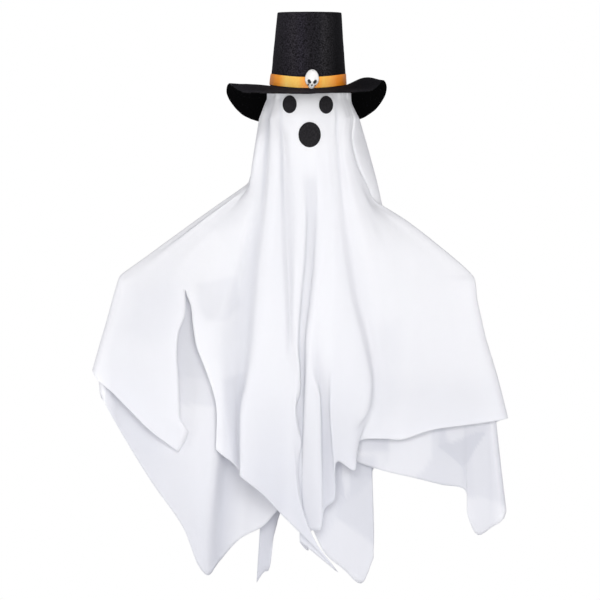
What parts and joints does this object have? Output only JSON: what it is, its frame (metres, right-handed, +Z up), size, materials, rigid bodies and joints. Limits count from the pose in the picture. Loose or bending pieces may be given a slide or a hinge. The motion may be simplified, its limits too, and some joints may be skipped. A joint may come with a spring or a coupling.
{
  "type": "hanging fabric ghost decoration",
  "caption": "Hanging ghost of draped white cloth over a ball head and wire arms, with felt face and brimmed felt hat.",
  "frame": {"origin": "middle of the hat's top, where the decoration is hung", "axes": "+Z up, the face looks along -Y, the arms spread along X"},
  "size_m": [0.6648, 0.249, 0.913],
  "materials": {
    "white_cloth": "matte",
    "black_felt": "matte",
    "face_felt": "matte",
    "orange_satin": "satin",
    "white_plastic": "gloss",
    "white_foam": "matte",
    "steel_wire": "satin"
  },
  "bodies": {
    "root": {"hat_crown": "black_felt", "hat_top": "black_felt", "hat_brim": "black_felt", "hat_band": "orange_satin", "skull_charm": "white_plastic", "head_ball": "white_foam", "arm_wire": "steel_wire", "outer_sheet": "white_cloth", "under_sheet": "white_cloth", "left_eye": "face_felt", "right_eye": "face_felt", "mouth": "face_felt"}
  },
  "joints": []
}
